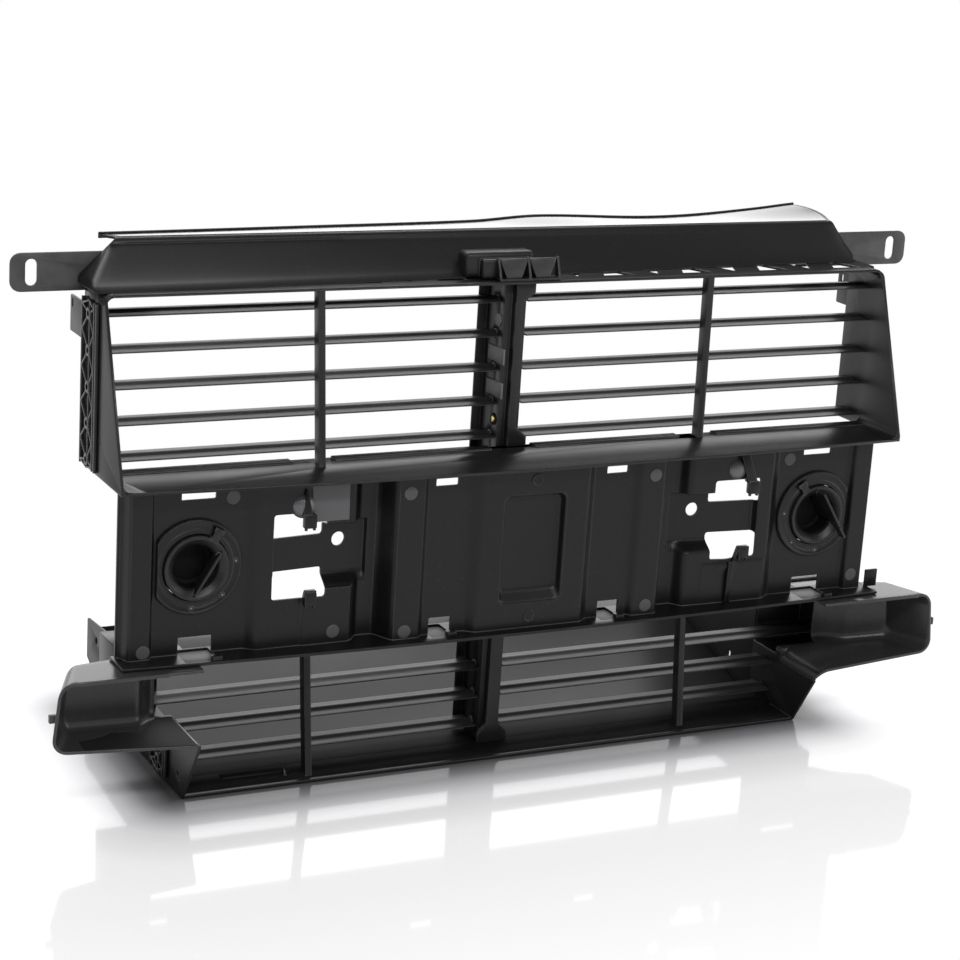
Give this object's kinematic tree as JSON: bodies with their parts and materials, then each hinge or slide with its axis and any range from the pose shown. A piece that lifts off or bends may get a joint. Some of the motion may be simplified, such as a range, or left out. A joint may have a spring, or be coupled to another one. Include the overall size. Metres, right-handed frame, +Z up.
{
  "type": "active grille shutter",
  "caption": "Wide front grille shutter with two banks of turning air vanes, a ribbed middle panel, side scoops, a top deflector, end straps and a rear duct.",
  "frame": {"origin": "middle of the box, on the surface that the lower lip stands on", "axes": "+X to the right seen from the front, +Y backwards, +Z up"},
  "size_m": [1, 0.3514, 0.5377],
  "materials": {
    "black_moulding": "satin moulded",
    "vane_plastic": "satin moulded",
    "drive_plastic": "moulded",
    "seal_rubber": "soft",
    "strap_metal": "dark coated",
    "screw_steel": "plain",
    "pin_brass": "turned"
  },
  "bodies": {
    "frame": {"upper_frame": "black_moulding", "lower_frame": "black_moulding", "drive_channel": "black_moulding", "mid_panel": "black_moulding", "top_deflector": "black_moulding", "duct_tray": "black_moulding", "latch_box": "black_moulding", "gusset_bracket": "black_moulding", "actuator_housing": "black_moulding", "seal_strip": "seal_rubber", "stop_pin": "pin_brass", "left_panel_wing": "black_moulding", "left_scoop": "black_moulding", "left_duct_side": "black_moulding", "left_cap_ring": "black_moulding", "upper_left_bearing_strip": "black_moulding", "lower_left_bearing_strip": "black_moulding", "left_mount_strap": "strap_metal", "left_side_bracket": "strap_metal", "left_strap_screw_1": "screw_steel", "left_strap_screw_2": "screw_steel", "right_panel_wing": "black_moulding", "right_scoop": "black_moulding", "right_duct_side": "black_moulding", "right_cap_ring": "black_moulding", "upper_right_bearing_strip": "black_moulding", "lower_right_bearing_strip": "black_moulding", "right_mount_strap": "strap_metal", "right_side_bracket": "strap_metal", "right_strap_screw_1": "screw_steel", "right_strap_screw_2": "screw_steel"},
    "upper_row_1": {"upper_vane_left_1": "vane_plastic", "upper_vane_right_1": "vane_plastic", "upper_pinion_1": "drive_plastic"},
    "upper_row_2": {"upper_vane_left_2": "vane_plastic", "upper_vane_right_2": "vane_plastic", "upper_pinion_2": "drive_plastic"},
    "upper_row_3": {"upper_vane_left_3": "vane_plastic", "upper_vane_right_3": "vane_plastic", "upper_pinion_3": "drive_plastic"},
    "upper_row_4": {"upper_vane_left_4": "vane_plastic", "upper_vane_right_4": "vane_plastic", "upper_pinion_4": "drive_plastic"},
    "upper_row_5": {"upper_vane_left_5": "vane_plastic", "upper_vane_right_5": "vane_plastic", "upper_pinion_5": "drive_plastic"},
    "lower_row_1": {"lower_vane_left_1": "vane_plastic", "lower_vane_right_1": "vane_plastic", "lower_pinion_1": "drive_plastic"},
    "lower_row_2": {"lower_vane_left_2": "vane_plastic", "lower_vane_right_2": "vane_plastic", "lower_pinion_2": "drive_plastic"},
    "lower_row_3": {"lower_vane_left_3": "vane_plastic", "lower_vane_right_3": "vane_plastic", "lower_pinion_3": "drive_plastic"},
    "rack": {"drive_rack": "drive_plastic"},
    "motor_pinion": {"actuator_pinion": "drive_plastic"},
    "left_cap": {"left_twist_cap": "black_moulding"},
    "right_cap": {"right_twist_cap": "black_moulding"}
  },
  "joints": [
    {"name": "upper_row_1_turn", "type": "hinge", "parent": "frame", "child": "upper_row_1", "pos_m": [0, -0.06665, 0.329], "axis": [1, 0, 0], "range_deg": [0, 80]},
    {"name": "upper_row_2_turn", "type": "hinge", "parent": "frame", "child": "upper_row_2", "pos_m": [0, -0.06665, 0.3638], "axis": [1, 0, 0], "range_deg": [0, 80]},
    {"name": "upper_row_3_turn", "type": "hinge", "parent": "frame", "child": "upper_row_3", "pos_m": [0, -0.06665, 0.3986], "axis": [1, 0, 0], "range_deg": [0, 80]},
    {"name": "upper_row_4_turn", "type": "hinge", "parent": "frame", "child": "upper_row_4", "pos_m": [0, -0.06665, 0.4334], "axis": [1, 0, 0], "range_deg": [0, 80]},
    {"name": "upper_row_5_turn", "type": "hinge", "parent": "frame", "child": "upper_row_5", "pos_m": [0, -0.06665, 0.4682], "axis": [1, 0, 0], "range_deg": [0, 80]},
    {"name": "lower_row_1_turn", "type": "hinge", "parent": "frame", "child": "lower_row_1", "pos_m": [0, -0.06665, 0.0185], "axis": [1, 0, 0], "range_deg": [0, 80]},
    {"name": "lower_row_2_turn", "type": "hinge", "parent": "frame", "child": "lower_row_2", "pos_m": [0, -0.06665, 0.05], "axis": [1, 0, 0], "range_deg": [0, 80]},
    {"name": "lower_row_3_turn", "type": "hinge", "parent": "frame", "child": "lower_row_3", "pos_m": [0, -0.06665, 0.0815], "axis": [1, 0, 0], "range_deg": [0, 80]},
    {"name": "rack_lift", "type": "slide", "parent": "frame", "child": "rack", "axis": [0, 0, 1], "range_m": [0, 0.0112]},
    {"name": "motor_pinion_turn", "type": "hinge", "parent": "frame", "child": "motor_pinion", "pos_m": [0, -0.06665, 0.241], "axis": [1, 0, 0], "range_deg": [0, 80]},
    {"name": "left_cap_turn", "type": "hinge", "parent": "frame", "child": "left_cap", "pos_m": [-0.3477, -0.11195, 0.237], "axis": [0, 1, 0], "range_deg": [0, 148]},
    {"name": "right_cap_turn", "type": "hinge", "parent": "frame", "child": "right_cap", "pos_m": [0.3477, -0.11195, 0.237], "axis": [0, 1, 0], "range_deg": [-148, 0]}
  ],
  "couplings": [
    {"joint": "upper_row_2_turn", "follows": "upper_row_1_turn", "ratio": 1},
    {"joint": "upper_row_3_turn", "follows": "upper_row_1_turn", "ratio": 1},
    {"joint": "upper_row_4_turn", "follows": "upper_row_1_turn", "ratio": 1},
    {"joint": "upper_row_5_turn", "follows": "upper_row_1_turn", "ratio": 1},
    {"joint": "lower_row_1_turn", "follows": "upper_row_1_turn", "ratio": 1},
    {"joint": "lower_row_2_turn", "follows": "upper_row_1_turn", "ratio": 1},
    {"joint": "lower_row_3_turn", "follows": "upper_row_1_turn", "ratio": 1},
    {"joint": "rack_lift", "follows": "upper_row_1_turn", "m_per_rad": 0.008},
    {"joint": "motor_pinion_turn", "follows": "upper_row_1_turn", "ratio": 1}
  ]
}
